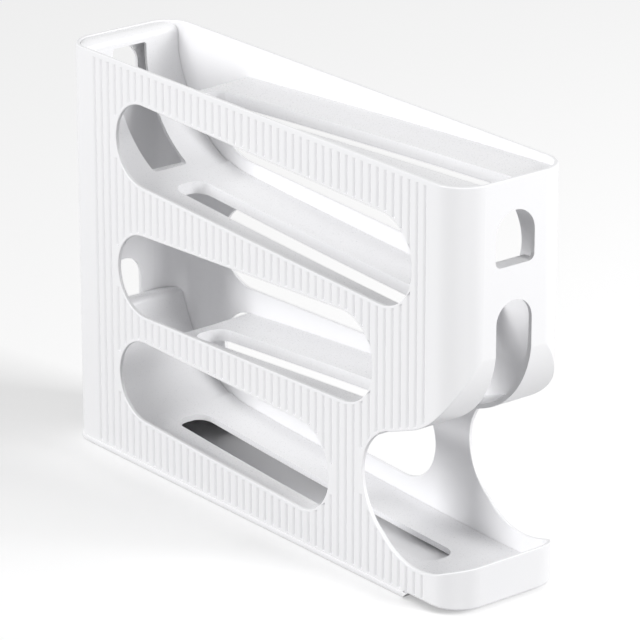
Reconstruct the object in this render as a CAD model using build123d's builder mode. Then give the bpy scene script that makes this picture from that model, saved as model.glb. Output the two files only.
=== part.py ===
"""Rolling egg dispenser: a narrow moulded housing with four sloping tiers inside it.

All lengths are in millimetres, +Z is up and the tray is at +X. The origin lies on the surface
that the dispenser stands on, under the middle of its outer box. Side outlines are drawn with
x counted from the back of the housing, and their heights are shares of the full height.
"""
import os
from math import acos, asin, cos, degrees, radians, sin, sqrt, tan

from build123d import *

# Overall size
length = 360.0
width = 81.7
height = 250.0

# Housing shell
wall = 2.5
corner_radius = 19.0
base_height = 3.0
rim_round = 0.7
edge_round = 0.6
foot_round = 1.6
tray_floor_thickness = 1.6
tray_floor_setback = 54.0
overrun = 5.0

# Windows in both long walls, listed from the top one
window_back = 51.5
window_back_radius_share = 0.101
window_front_radius_share = 0.108
window_setbacks = (38.5, 71.5, 110.0)
window_back_shares = (0.811, 0.4884, 0.221)
window_front_shares = (0.780, 0.513, 0.202)

# Flutes in both long walls
flute_pitch = 6.7
flute_width = 4.4
flute_depth = 1.2
flute_floor = 0.4
flute_lift = 0.04
flute_back = 31.0
flute_setback = 27.4
flute_top_gap = 3.0
flute_foot_gap = 1.2
flute_border = 1.5

# Curved front underside and the open mouth above the tray
nose_radius = 58.0
nose_share = 0.6256
nose_lean = 7.0
underside_angle = 19.5
underside_setback = 56.0
underside_plate_setback = 68.0
mouth_setbacks = (71.7, 80.2, 76.7, 62.6, 46.5, 29.0, 12.2)
mouth_shares = (0.3448, 0.264, 0.1956, 0.1292, 0.090, 0.0816, 0.0972)
mouth_blend = 12.0
lip_share = 0.1112

# Openings in the front wall
grip_width = 27.8
grip_bottom_share = 0.8012
grip_height = 31.5
grip_corner = 4.0
grip_ledge_depth = 10.4
grip_ledge_overlap = 1.5
grip_ledge_thickness = 2.5
grip_ledge_round = 1.1
front_slot_width = 25.6
front_slot_share = 0.7208
front_slot_setback = 56.0
front_slot_round = 9.0

# Arched openings in the back wall
arch_width = 24.0
arch_height = 31.5
arch_top_shares = (0.958, 0.416)

# Ramps and turn guides
fit = 0.3
ramp_thickness = 2.2
ramp_rise = 1.3
ramp_slot_width = 22.5
ramp_slot_round = 9.0
flange_thickness = 1.8
flange_depth = 7.5
low_flange_depth = 3.4
front_drop = 54.5
first_middle_share = 0.6
first_ramp_shares = (0.915, 0.950, 0.9776)
third_middle_share = 0.511
third_ramp_shares = (0.3196, 0.3496, 0.3744)
second_ramp_shares = (0.6728, 0.620)
fourth_ramp_shares = (0.0772, 0.0304)
tray_setback = 60.0
tray_end_share = 0.0344
turn_back = 11.0
turn_exit = 4.0
turn_straight = 5.3
turn_seam = 18.0
hood_top_gap = 1.0
hood_round = 6.0
hood_slot_width = 24.8
hood_slot_drop = 7.7
hood_slot_lead = 7.0
hood_slot_round = 2.0
low_turn_share = 0.318
low_turn_round = 4.0
slot_inset = 7.5
slot_lead = 9.8
third_slot_setback = 80.0
fourth_slot_setback = 58.0

# Ledges moulded on the inside of the walls, under the ramps
ledge_width = 2.2
ledge_thickness = 1.6
ledge_gap = 0.25
ledge_inset = 6.0
lip_ledge_width = 7.0
lip_ledge_gap = 1.5
first_ledge_setbacks = (230.0, 22.0)
second_ledge_setback = 125.0
third_ledge_setback = 232.0

# Base plate
plate_proud = 0.6
plate_slope = 3.0
plate_setback = 43.5
plate_lip_height = 1.4
plate_lip_thickness = 1.6
plate_lip_setback = 72.0
plate_round = 1.0

# Places worked out from the sizes above
window_back_radius = window_back_radius_share * height
window_front_radius = window_front_radius_share * height
inner_width = width - 2 * wall
ramp_width = inner_width - 2 * fit
back_x = (plate_proud - length) / 2
side = Plane(origin=(back_x, 0, 0), x_dir=(1, 0, 0), z_dir=(0, -1, 0))
front = Plane(origin=(back_x + length, 0, 0), x_dir=(0, 1, 0), z_dir=(1, 0, 0))
back = Plane(origin=(back_x, 0, 0), x_dir=(0, -1, 0), z_dir=(-1, 0, 0))


def plan(level):
    """The level plane whose x is counted from the back of the housing."""
    return Plane(origin=(back_x, 0, level))


def from_front(setback, share):
    """A side-view point from its setback behind the front and its share of the height."""
    return (length - setback, share * height)


def plan_outline(inset, mode=Mode.ADD):
    """The housing's rounded outline in plan, moved inwards by the inset."""
    with Locations((length / 2, 0)):
        RectangleRounded(length - 2 * inset, width - 2 * inset, corner_radius - inset, mode=mode)


def span(x0, x1, y0, y1, mode=Mode.ADD):
    """A rectangle between two corners."""
    with Locations(((x0 + x1) / 2, (y0 + y1) / 2)):
        Rectangle(x1 - x0, y1 - y0, mode=mode)


def rounded_span(x0, x1, across, radius):
    """A long hole in plan from x0 to x1 with rounded corners, on the middle plane."""
    with BuildSketch() as outline:
        with Locations(((x0 + x1) / 2, 0)):
            RectangleRounded(x1 - x0, across, radius)
    return outline.sketch


# Paths of the rolling surfaces in the side view
turn_top = height - hood_top_gap - hood_round - turn_straight
turn_foot = height * second_ramp_shares[0]
turn_radius = (turn_top - turn_foot) / cos(radians(turn_exit))
turn_x = turn_back + turn_radius
drop_edge = turn_x - turn_radius * sin(radians(turn_exit))
seam_x = drop_edge - turn_seam
seam_angle = degrees(acos((turn_x - seam_x) / turn_radius))
plate_back = length - underside_plate_setback
nose_x = length - nose_radius
nose_z = nose_share * height
nose_top = nose_z - nose_radius * sin(radians(nose_lean))
leaning_x = length - nose_radius * cos(radians(nose_lean))
plate_end = length - plate_setback
tray_start = length - tray_setback


def down_slope(start, x):
    """The point at x on the underside's straight run, which climbs forwards to the start."""
    return (x, start.Y + (x - start.X) * tan(radians(underside_angle)))


def mouth_outline():
    """The side-view region cut away under the nose and above the tray."""
    places = [from_front(setback, share) for setback, share in zip(mouth_setbacks, mouth_shares)]
    shoulder_place, back_place, hollow_place, heel_place, sill_place, bottom_place, bend_place = places
    with BuildSketch() as outline:
        with BuildLine():
            top = Line((length + overrun, nose_top), (length, nose_top))
            nose = CenterArc((leaning_x, nose_z), nose_radius, -nose_lean,
                             underside_angle - 90 + nose_lean)
            flat = Line(nose @ 1, down_slope(nose @ 1, length - underside_setback))
            shoulder = ThreePointArc(flat @ 1, shoulder_place, back_place)
            hollow = ThreePointArc(shoulder @ 1, hollow_place, heel_place)
            sill = ThreePointArc(hollow @ 1, sill_place, bottom_place)
            bend = TangentArc(sill @ 1, bend_place, tangent=sill % 1)
            lip = TangentArc(bend @ 1, (length, lip_share * height), tangent=bend % 1)
            Polyline(lip @ 1, (length + overrun, (lip @ 1).Y), top @ 0)
        make_face()
        fillet(outline.vertices().sort_by(Axis.X)[:3], mouth_blend)
    return outline.sketch


def window_outline(number, grow=0.0):
    """The rounded, slightly tapering outline of one window, counted from the top one."""
    back_end = window_back + window_back_radius
    front_end = length - window_setbacks[number] - window_front_radius
    with BuildSketch() as outline:
        with Locations((back_end, window_back_shares[number] * height)):
            Circle(window_back_radius + grow)
        with Locations((front_end, window_front_shares[number] * height)):
            Circle(window_front_radius + grow)
        make_hull()
    return outline.sketch


def flute_outline():
    """One flute's section: a narrow valley between the rounded shoulders of two ribs."""
    half = flute_width / 2
    with BuildSketch() as outline:
        with BuildLine():
            fall = TangentArc((-half, 0), (-flute_floor / 2, -flute_depth), tangent=(1, 0))
            rise = TangentArc((half, 0), (flute_floor / 2, -flute_depth), tangent=(-1, 0))
            Line(fall @ 1, rise @ 1)
            Polyline(rise @ 0, (half, wall), (-half, wall), fall @ 0)
        make_face()
    return outline.sketch


def heights_at(opening, x):
    """The lowest and highest heights of an opening on the upright line at x."""
    shared = opening.intersect(Edge.make_line((x, -height), (x, 2 * height))) or []
    ends = [point.Y for edge in shared for point in (edge @ 0, edge @ 1)]
    return [(min(ends), max(ends))] if ends else []


def flute_stops(openings, place):
    """The parts of one flute's strip that openings take up, with straight slanted ends."""
    x0, x1 = place - flute_width / 2, place + flute_width / 2
    stops = []
    for opening in openings:
        spans = heights_at(opening, x0) + heights_at(opening, x1)
        if spans:
            with BuildSketch() as stop:
                with BuildLine():
                    Polyline(
                        (place - flute_pitch / 2, spans[0][0]),
                        (place + flute_pitch / 2, spans[-1][0]),
                        (place + flute_pitch / 2, spans[-1][1]),
                        (place - flute_pitch / 2, spans[0][1]),
                        close=True,
                    )
                make_face()
            stops.append(stop.sketch)
    return stops


def d_outline(across, tall, corner):
    """A hole with a round top and a flat bottom, standing on the sketch's origin."""
    with BuildSketch() as outline:
        with Locations((0, tall - across / 2)):
            Circle(across / 2)
        with Locations((0, (tall - across / 2) / 2)):
            Rectangle(across, tall - across / 2)
        fillet(outline.vertices().group_by(Axis.Y)[0], corner)
    return outline.sketch


def on_wall(edge):
    """Whether an edge lies in the flat outer or inner face of a long wall."""
    box = edge.bounding_box()
    return box.size.Y < fit and abs(box.max.Y) > inner_width / 2 - fit


def on_mouth(edge):
    """Whether an edge runs along the mouth's cut, or along the tray's front lip."""
    box = edge.bounding_box()
    lip = box.size.Y > front_slot_width and box.max.Z < nose_z / 2
    return box.size.X > fit or lip


def turn_section():
    """A turn guide's flat cross-section, under its rolling surface."""
    with BuildSketch() as outline:
        with Locations((0, -ramp_thickness / 2)):
            Rectangle(ramp_width, ramp_thickness)
    return outline.sketch


def ramp_section():
    """A ramp's cross-section: level between the slot's edges and rising to both walls."""
    half = ramp_width / 2
    edge = ramp_slot_width / 2
    with BuildSketch() as outline:
        with BuildLine():
            Polyline(
                (-half, ramp_rise),
                (-edge, 0),
                (edge, 0),
                (half, ramp_rise),
                (half, ramp_rise - ramp_thickness),
                (edge, -ramp_thickness),
                (-edge, -ramp_thickness),
                (-half, ramp_rise - ramp_thickness),
                close=True,
            )
        make_face()
    return outline.sketch


def start_plane(path):
    """The plane across a path's start, with its second axis square to the rolling surface."""
    return Plane(origin=path @ 0, x_dir=(0, 1, 0), z_dir=path % 0)


def slot_rim(path, start, end, depth):
    """The rim that hangs down under a ramp around its slot."""
    with BuildPart() as rim:
        with BuildSketch(start_plane(path)):
            with Locations((0, -depth / 2)):
                Rectangle(ramp_slot_width + 4 * flange_thickness, depth)
        sweep(path=path)
        with BuildSketch(plan(0)):
            add(rounded_span(start - flange_thickness, end + flange_thickness,
                             ramp_slot_width + 2 * flange_thickness,
                             ramp_slot_round + flange_thickness))
        extrude(amount=height, mode=Mode.INTERSECT)
    return rim.part


def wall_ledges(path, start, end, drop):
    """A pair of ledges on the long walls, a set drop under a path and between two places."""
    across = ledge_width + wall / 2
    with BuildPart() as ledges:
        with BuildSketch(start_plane(path)):
            middle = (inner_width + wall) / 2 - across / 2
            with Locations((-middle, -drop - ledge_thickness / 2),
                           (middle, -drop - ledge_thickness / 2)):
                Rectangle(across, ledge_thickness)
        sweep(path=path)
        with BuildSketch(plan(0)):
            span(start, end, -width / 2, width / 2)
        extrude(amount=height, mode=Mode.INTERSECT)
    return ledges.part


def turn_arc(middle_z, start):
    """A turn guide's main arc, from a start angle down to the seam with its ramp."""
    return CenterArc((turn_x, middle_z), turn_radius, start, 180 + seam_angle - start)


# Paths of the rolling surfaces, seen from the side
with BuildLine() as first_line:
    ThreePointArc(
        (drop_edge, first_ramp_shares[0] * height),
        (first_middle_share * length, first_ramp_shares[1] * height),
        (length - wall - fit, first_ramp_shares[2] * height),
    )

with BuildLine() as hood_line:
    hood_z = turn_top + turn_straight
    hood_lip = CenterArc((turn_back - hood_round, hood_z), hood_round, 90, -90)
    Line((wall + fit, hood_z + hood_round), hood_lip @ 0)
    Line(hood_lip @ 1, (turn_back, turn_top))
    turn_arc(turn_top, 180)

with BuildLine() as second_line:
    second_turn = CenterArc((turn_x, turn_top), turn_radius, 180 + seam_angle,
                            90 - seam_angle - turn_exit)
    TangentArc(second_turn @ 1, (length - front_drop, second_ramp_shares[1] * height),
               tangent=second_turn % 1)

with BuildLine() as third_line:
    ThreePointArc(
        (drop_edge, third_ramp_shares[0] * height),
        (third_middle_share * length, third_ramp_shares[1] * height),
        (plate_back - fit, third_ramp_shares[2] * height),
    )

# The lower turn ends in a small lip that leads back to the wall
low_middle = fourth_ramp_shares[0] * height + turn_radius * cos(radians(turn_exit))
lip_rise = low_middle - low_turn_share * height + low_turn_round
lip_angle = degrees(asin(lip_rise / (turn_radius + low_turn_round)))
lip_x = turn_x - (turn_radius + low_turn_round) * cos(radians(lip_angle))
with BuildLine() as low_line:
    low_lip = CenterArc((lip_x, low_middle - lip_rise), low_turn_round, 90, lip_angle - 90)
    Line((wall + fit, low_turn_share * height), low_lip @ 0)
    turn_arc(low_middle, 180 + lip_angle)

with BuildLine() as fourth_line:
    fourth_turn = CenterArc((turn_x, low_middle), turn_radius, 180 + seam_angle,
                            90 - seam_angle - turn_exit)
    run = TangentArc(fourth_turn @ 1, (tray_start, fourth_ramp_shares[1] * height),
                     tangent=fourth_turn % 1)
    TangentArc(run @ 1, (length - wall - fit, tray_end_share * height), tangent=run % 1)

first_path = side * first_line.line
hood_path = side * hood_line.line
second_path = side * second_line.line
third_path = side * third_line.line
low_path = side * low_line.line
fourth_path = side * fourth_line.line

# What the housing holds, less the thickness of its underside and tray
with BuildPart() as cavity:
    with BuildSketch(side):
        with BuildLine():
            nose = CenterArc((nose_x, nose_z), nose_radius - wall, 0, underside_angle - 90)
            flat = Line(nose @ 1, down_slope(nose @ 1, plate_back))
            Polyline(
                flat @ 1,
                (plate_back, base_height + tray_floor_thickness),
                (length - tray_floor_setback, base_height + tray_floor_thickness),
                (length - tray_floor_setback, 0),
                (0, 0),
                (0, height + overrun),
                (length - wall, height + overrun),
                nose @ 0,
            )
        make_face()
        span(plate_back - overrun, length, base_height + tray_floor_thickness, nose_z / 2)
    extrude(amount=width / 2, both=True)
    with BuildSketch(plan(-overrun)):
        plan_outline(wall)
    extrude(amount=height + 3 * overrun, mode=Mode.INTERSECT)

# The flutes of both long walls, kept clear of the windows and the mouth
flute_count = int((length - flute_setback - flute_back) / flute_pitch) + 1
flute_places = [flute_back + number * flute_pitch for number in range(flute_count)]
openings = [window_outline(number, flute_border) for number in range(len(window_setbacks))]
openings.append(offset(mouth_outline(), amount=flute_border))
with BuildPart() as flutes:
    with BuildSketch(plan(base_height + flute_foot_gap)):
        for place in flute_places:
            with Locations((place, width / 2 + flute_lift)):
                add(flute_outline())
    extrude(amount=height - base_height - flute_foot_gap - flute_top_gap)
    with BuildSketch(side):
        add([stop for place in flute_places for stop in flute_stops(openings, place)])
    extrude(amount=width, both=True, mode=Mode.SUBTRACT)
    mirror(about=Plane.XZ)

# Ledges on the long walls that the ramps and guides rest on
under_ramp = ramp_thickness - ramp_rise + ledge_gap
under_turn = ramp_thickness + ledge_gap
ledge_sets = (
    wall_ledges(first_path, length - first_ledge_setbacks[0], length - first_ledge_setbacks[1],
                under_ramp),
    wall_ledges(second_path, drop_edge + ledge_inset, length - second_ledge_setback, under_ramp),
    wall_ledges(third_path, length - third_ledge_setback, plate_back - ledge_inset, under_ramp),
    wall_ledges(fourth_path, drop_edge + ledge_inset, tray_start, under_ramp),
    wall_ledges(hood_path, corner_radius, window_back - ledge_inset, under_turn),
    wall_ledges(low_path, corner_radius, window_back - ledge_inset, under_turn),
)

with BuildPart() as housing:
    with BuildSketch(plan(base_height)):
        plan_outline(0)
    extrude(amount=height - base_height)
    fillet(housing.faces().sort_by(Axis.Z)[0].edges(), foot_round)
    with BuildSketch(plan(base_height)):
        plan_outline(0)
        span(plate_end, length, -width / 2, width / 2, mode=Mode.SUBTRACT)
    extrude(amount=2 * foot_round)
    add(cavity.part, mode=Mode.SUBTRACT)
    fillet(housing.faces().sort_by(Axis.Z)[-1].edges(), rim_round)
    with BuildSketch(side):
        for number in range(len(window_setbacks)):
            add(window_outline(number))
    extrude(amount=width, both=True, mode=Mode.SUBTRACT)
    fillet(housing.edges(Select.LAST).filter_by(on_wall), edge_round)
    with BuildSketch(side):
        add(mouth_outline())
    extrude(amount=width, both=True, mode=Mode.SUBTRACT)
    fillet(housing.edges(Select.LAST).filter_by(on_mouth), edge_round)
    # hand grip and viewing slot in the front wall
    with BuildSketch(front):
        with Locations((0, grip_bottom_share * height)):
            add(d_outline(grip_width, grip_height, grip_corner))
        with Locations((0, front_slot_share * height - 2 * front_slot_width)):
            add(d_outline(front_slot_width, 2 * front_slot_width, grip_corner))
    extrude(amount=-2 * wall, mode=Mode.SUBTRACT)
    with BuildSketch(plan(nose_z / 2)):
        add(rounded_span(length - front_slot_setback, length + front_slot_width,
                         front_slot_width, front_slot_round))
    extrude(amount=nose_z / 2, mode=Mode.SUBTRACT)
    # arched holes in the back wall
    with BuildSketch(back):
        for share in arch_top_shares:
            with Locations((0, share * height - arch_height)):
                add(d_outline(arch_width, arch_height, grip_corner))
    extrude(amount=-2 * wall, mode=Mode.SUBTRACT)
    # ledge inside the hand grip, rounded along its free edge
    with BuildSketch(side):
        ledge_end = length - grip_ledge_depth + grip_ledge_round
        ledge_top = grip_bottom_share * height
        span(ledge_end, length - wall / 2, ledge_top - grip_ledge_thickness, ledge_top)
        with Locations((ledge_end, ledge_top - grip_ledge_thickness / 2)):
            Ellipse(grip_ledge_round, grip_ledge_thickness / 2)
    extrude(amount=grip_width / 2 + grip_ledge_overlap, both=True)
    # ledges on the back wall under the lips of both turn guides
    with BuildSketch(back):
        lip_ledge_y = (arch_width + lip_ledge_width) / 2 + lip_ledge_gap
        for lip_top in (turn_top + turn_straight + hood_round, low_turn_share * height):
            ledge_z = lip_top - under_turn - ledge_thickness / 2
            with Locations((-lip_ledge_y, ledge_z), (lip_ledge_y, ledge_z)):
                Rectangle(lip_ledge_width, ledge_thickness)
    extrude(amount=-wall - ledge_width)
    for ledges in ledge_sets:
        add(ledges)
    add(flutes.part, mode=Mode.SUBTRACT)
housing.part.label = "housing"

with BuildPart() as base_plate:
    with BuildSketch(plan(0)):
        plan_outline(-plate_proud)
    extrude(amount=base_height)
    fillet(base_plate.faces().sort_by(Axis.Z)[-1].edges(), plate_proud)
    fillet(base_plate.faces().sort_by(Axis.Z)[0].edges(), plate_round)
    # register lip inside the housing's walls
    with BuildSketch(plan(base_height)):
        plan_outline(wall + fit)
        plan_outline(wall + fit + plate_lip_thickness, mode=Mode.SUBTRACT)
        span(length - plate_lip_setback, length, -width / 2, width / 2, mode=Mode.SUBTRACT)
    extrude(amount=plate_lip_height)
    # sloped front edge, behind the raised tray
    with BuildSketch(side):
        with BuildLine():
            Polyline(
                (plate_end - overrun, -overrun * base_height / plate_slope),
                (plate_end + plate_slope, base_height),
                (length + overrun, base_height),
                (length + overrun, -overrun * base_height / plate_slope),
                close=True,
            )
        make_face()
    extrude(amount=width, both=True, mode=Mode.SUBTRACT)
base_plate.part.label = "base_plate"

# Where each slot starts and ends, counted from the back
first_slot = (drop_edge + slot_inset, length - wall - slot_inset)
second_slot = (drop_edge - slot_lead, length - front_drop - slot_inset)
third_slot = (drop_edge + slot_inset, length - third_slot_setback)
fourth_slot = (drop_edge - slot_lead, length - fourth_slot_setback)
first_rim = slot_rim(first_path, *first_slot, flange_depth)
second_rim = slot_rim(second_path, *second_slot, flange_depth)
third_rim = slot_rim(third_path, *third_slot, flange_depth)
fourth_rim = slot_rim(fourth_path, *fourth_slot, low_flange_depth)

with BuildPart() as first_ramp:
    with BuildSketch(start_plane(first_path)):
        add(ramp_section())
    sweep(path=first_path)
    add(first_rim)
    with BuildSketch(plan(0)):
        plan_outline(wall + fit)
        add(rounded_span(*first_slot, ramp_slot_width, ramp_slot_round), mode=Mode.SUBTRACT)
    extrude(amount=height, mode=Mode.INTERSECT)
first_ramp.part.label = "first_ramp"

with BuildPart() as upper_turn_guide:
    with BuildSketch(start_plane(hood_path)):
        add(turn_section())
    sweep(path=hood_path)
    with BuildSketch(plan(0)):
        plan_outline(wall + fit)
    extrude(amount=height, mode=Mode.INTERSECT)
    # slot from just under the lip down to near the ramp
    with BuildSketch(back):
        slot_top = turn_top + turn_straight + hood_round - hood_slot_drop
        slot_reach = turn_x - seam_x + hood_slot_lead
        slot_foot = turn_top - sqrt(turn_radius**2 - slot_reach**2)
        with Locations((0, (slot_top + slot_foot) / 2)):
            RectangleRounded(hood_slot_width, slot_top - slot_foot, hood_slot_round)
    extrude(amount=-seam_x, mode=Mode.SUBTRACT)
upper_turn_guide.part.label = "upper_turn_guide"

with BuildPart() as second_ramp:
    with BuildSketch(start_plane(second_path)):
        add(ramp_section())
    sweep(path=second_path)
    add(second_rim)
    with BuildSketch(plan(0)):
        add(rounded_span(*second_slot, ramp_slot_width, ramp_slot_round))
    extrude(amount=height, mode=Mode.SUBTRACT)
second_ramp.part.label = "second_ramp"

with BuildPart() as third_ramp:
    with BuildSketch(start_plane(third_path)):
        add(ramp_section())
    sweep(path=third_path)
    add(third_rim)
    with BuildSketch(plan(0)):
        add(rounded_span(*third_slot, ramp_slot_width, ramp_slot_round))
    extrude(amount=height, mode=Mode.SUBTRACT)
third_ramp.part.label = "third_ramp"

with BuildPart() as lower_turn_guide:
    with BuildSketch(start_plane(low_path)):
        add(turn_section())
    sweep(path=low_path)
    with BuildSketch(plan(0)):
        plan_outline(wall + fit)
    extrude(amount=height, mode=Mode.INTERSECT)
lower_turn_guide.part.label = "lower_turn_guide"

with BuildPart() as fourth_ramp:
    with BuildSketch(start_plane(fourth_path)):
        add(ramp_section())
    sweep(path=fourth_path)
    add(fourth_rim)
    with BuildSketch(plan(0)):
        plan_outline(wall + fit)
        add(rounded_span(*fourth_slot, ramp_slot_width, ramp_slot_round), mode=Mode.SUBTRACT)
    extrude(amount=height, mode=Mode.INTERSECT)
fourth_ramp.part.label = "fourth_ramp"

os.makedirs("parts", exist_ok=True)
export_step(housing.part, "parts/housing.step")
export_step(base_plate.part, "parts/base_plate.step")
export_step(first_ramp.part, "parts/first_ramp.step")
export_step(upper_turn_guide.part, "parts/upper_turn_guide.step")
export_step(second_ramp.part, "parts/second_ramp.step")
export_step(third_ramp.part, "parts/third_ramp.step")
export_step(lower_turn_guide.part, "parts/lower_turn_guide.step")
export_step(fourth_ramp.part, "parts/fourth_ramp.step")
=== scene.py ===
import math

import bpy
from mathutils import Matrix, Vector

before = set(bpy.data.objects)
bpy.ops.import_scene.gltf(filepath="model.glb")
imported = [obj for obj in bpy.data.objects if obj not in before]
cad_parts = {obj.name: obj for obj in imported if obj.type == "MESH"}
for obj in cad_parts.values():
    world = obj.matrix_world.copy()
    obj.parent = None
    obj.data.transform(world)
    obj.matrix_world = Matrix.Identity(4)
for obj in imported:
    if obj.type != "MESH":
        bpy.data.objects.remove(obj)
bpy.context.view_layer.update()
bpy.ops.object.select_all(action="DESELECT")


# Housing
# The outer shell, moulded in one piece of white ABS: fluted long walls with three windows in each,
# a hand grip and a viewing slot in front, arched holes behind and the open tray at the foot. Its
# steel mould is satin-polished, which leaves broad, soft highlights.

def srgb(code):
    """The linear colour of an sRGB hex value."""
    parts = [int(code[place:place + 2], 16) / 255 for place in (1, 3, 5)]
    linear = [c / 12.92 if c <= 0.04045 else ((c + 0.055) / 1.055) ** 2.4 for c in parts]
    return (*linear, 1.0)


def add_node(tree, kind, links=(), values=(), **settings):
    """Adds one shader node: settings, then (socket, value) pairs, then (socket, source) links."""
    node = tree.nodes.new(kind)
    for name, value in settings.items():
        setattr(node, name, value)
    for socket, value in values:
        node.inputs[socket].default_value = value
    for socket, source in links:
        tree.links.new(source, node.inputs[socket])
    return node


def moulded_abs(name, body, flow, polish, grain):
    """Injection-moulded ABS: faint flow clouding, and a fine skin copied from the steel mould.

    body and flow are the two ends of the clouding, polish the mean roughness and grain the height
    of the skin in metres. The melt flowed along the walls, so the clouds are 125 mm long and 45 mm
    across. The skin's peaks are finer than the render can show, so they are drawn 0.9 mm apart.
    """
    clouds_per_metre = (8.0, 22.0, 22.0)
    peak_spacing = 0.0009
    polish_spread = 0.04
    material = bpy.data.materials.new(name)
    material.use_nodes = True
    tree = material.node_tree
    tree.nodes.clear()
    place = add_node(tree, "ShaderNodeTexCoord").outputs["Object"]
    flow_map = add_node(tree, "ShaderNodeMapping", [("Vector", place)],
                        [("Scale", clouds_per_metre)])
    clouds = add_node(tree, "ShaderNodeTexNoise", [("Vector", flow_map.outputs["Vector"])],
                      [("Scale", 1.0), ("Detail", 3.0), ("Roughness", 0.5), ("Distortion", 0.6)])
    tint = add_node(tree, "ShaderNodeMix", [("Factor", clouds.outputs["Fac"])],
                    [("A", srgb(body)), ("B", srgb(flow))], data_type="RGBA")
    skin = add_node(tree, "ShaderNodeTexNoise", [("Vector", place)],
                    [("Scale", 1.0 / peak_spacing), ("Detail", 2.0), ("Roughness", 0.6)])
    gloss = add_node(tree, "ShaderNodeMapRange", [("Value", skin.outputs["Fac"])],
                     [("From Min", 0.3), ("From Max", 0.7),
                      ("To Min", polish - polish_spread), ("To Max", polish + polish_spread)])
    relief = add_node(tree, "ShaderNodeBump", [("Height", skin.outputs["Fac"])],
                      [("Strength", 0.6), ("Distance", grain)])
    shader = add_node(tree, "ShaderNodeBsdfPrincipled",
                      [("Base Color", tint.outputs["Result"]), ("Roughness", gloss.outputs["Result"]),
                       ("Normal", relief.outputs["Normal"])],
                      [("IOR", 1.53)])
    add_node(tree, "ShaderNodeOutputMaterial", [("Surface", shader.outputs["BSDF"])])
    return material


def finish_with(node, material):
    """Gives a CAD node one material in every slot."""
    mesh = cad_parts[node].data
    if not mesh.materials:
        mesh.materials.append(material)
    for number in range(len(mesh.materials)):
        mesh.materials[number] = material


finish_with("housing", moulded_abs("abs_white_satin_moulded", "#F3F3F4", "#F1F1F3", 0.34, 0.00001))


# Base plate
# A shallow plate clipped under the housing, moulded in the same white ABS from its own tool, which
# is taken to be polished a little less, so that the plate is a shade duller.

finish_with("base_plate", moulded_abs("abs_white_base_plate", "#F2F2F3", "#F0F0F2", 0.38, 0.00001))


# Ramps and turn guides
# Four sloping ramps, and two curved guides at the back that lead from one ramp to the next, pushed
# in between the walls. They are ABS too, moulded in smoother tools, so they have a finer skin and
# shine a little more than the housing.

ramp_abs = moulded_abs("abs_white_ramps", "#F2F2F3", "#EFEFF1", 0.3, 0.000006)
for node in ("first_ramp", "second_ramp", "third_ramp", "fourth_ramp",
             "upper_turn_guide", "lower_turn_guide"):
    finish_with(node, ramp_abs)


# Studio
# A long lens that sees the tray end and one fluted side, a seamless pale floor and two large
# softboxes, one on each side of the lens: the right one lights the tray end, the left one the side.

camera_data = bpy.data.cameras.new("camera")
camera_data.sensor_width = 36.0
camera_data.lens = 245.12
camera_data.clip_start = 0.1
camera_data.clip_end = 100.0
camera = bpy.data.objects.new("camera", camera_data)
bpy.context.collection.objects.link(camera)
camera.location = (1.84154, -1.47213, 0.99773)
azimuth = math.radians(51.1767)
elevation = math.radians(20.5096)
towards_camera = Vector((math.sin(azimuth) * math.cos(elevation),
                         -math.cos(azimuth) * math.cos(elevation), math.sin(elevation)))
camera.rotation_mode = "QUATERNION"
camera.rotation_quaternion = (-towards_camera).to_track_quat("-Z", "Y")
bpy.context.scene.camera = camera


def seen_directly(tree):
    """One where a ray comes from the camera or off a gloss, nought for the light of the scene."""
    path = add_node(tree, "ShaderNodeLightPath")
    return add_node(tree, "ShaderNodeMath",
                    [(0, path.outputs["Is Camera Ray"]), (1, path.outputs["Is Glossy Ray"])],
                    operation="ADD", use_clamp=True).outputs["Value"]


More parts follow.
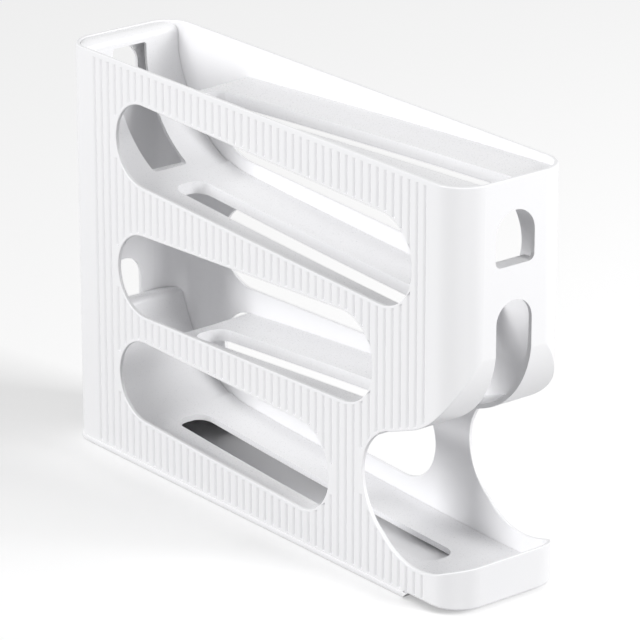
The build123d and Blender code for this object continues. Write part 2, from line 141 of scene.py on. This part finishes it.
# matt paper: the light that it throws back on the dispenser is a pale grey's, but seen directly it
# is white and lifted, so that it meets the white behind and still shows the shadow
bpy.ops.mesh.primitive_plane_add(size=40.0, location=(0, 0, 0))
floor = bpy.context.object
floor.name = "floor"
paper = bpy.data.materials.new("matt_white_paper")
paper.use_nodes = True
tree = paper.node_tree
tree.nodes.clear()
matt = add_node(tree, "ShaderNodeBsdfDiffuse", values=[("Color", srgb("#C0C0C1"))])
bright = add_node(tree, "ShaderNodeBsdfDiffuse", values=[("Color", srgb("#FFFFFF"))])
lift = add_node(tree, "ShaderNodeEmission", values=[("Color", (1, 1, 1, 1)), ("Strength", 0.34)])
lifted = add_node(tree, "ShaderNodeAddShader",
                  [(0, bright.outputs["BSDF"]), (1, lift.outputs["Emission"])])
seen = add_node(tree, "ShaderNodeMixShader",
                [(0, seen_directly(tree)), (1, matt.outputs["BSDF"]), (2, lifted.outputs["Shader"])])
add_node(tree, "ShaderNodeOutputMaterial", [("Surface", seen.outputs["Shader"])])
floor.data.materials.append(paper)

# a dim even dome lights the scene, and seen directly it is plain white
world = bpy.data.worlds.new("studio")
bpy.context.scene.world = world
world.use_nodes = True
tree = world.node_tree
tree.nodes.clear()
dome = add_node(tree, "ShaderNodeBackground", values=[("Color", (1, 1, 1, 1)), ("Strength", 0.40)])
white = add_node(tree, "ShaderNodeBackground", values=[("Color", (1, 1, 1, 1)), ("Strength", 1.0)])
backdrop = add_node(tree, "ShaderNodeMixShader",
                    [(0, seen_directly(tree)), (1, dome.outputs["Background"]),
                     (2, white.outputs["Background"])])
add_node(tree, "ShaderNodeOutputWorld", [("Surface", backdrop.outputs["Shader"])])


def softbox(name, place, power):
    """A large square area lamp that faces the middle of the dispenser."""
    across = 1.1
    middle = Vector((0, 0, 0.12))
    lamp_data = bpy.data.lights.new(name, "AREA")
    lamp_data.size = across
    lamp_data.energy = power
    lamp = bpy.data.objects.new(name, lamp_data)
    bpy.context.collection.objects.link(lamp)
    lamp.location = place
    lamp.rotation_mode = "QUATERNION"
    lamp.rotation_quaternion = (middle - Vector(place)).to_track_quat("-Z", "Y")
    return lamp


softbox("key_right", (2.1, 0.95, 1.05), 43.5)
# the second lamp is flagged off the floor, so that it throws no shadow behind the dispenser
left_front = softbox("left_front", (-0.55, -2.5, 1.25), 56.0)
flagged = bpy.data.collections.new("flagged_off")
flagged.objects.link(floor)
flagged.collection_objects[0].light_linking.link_state = "EXCLUDE"
left_front.light_linking.receiver_collection = flagged

bpy.context.scene.view_settings.view_transform = "Standard"
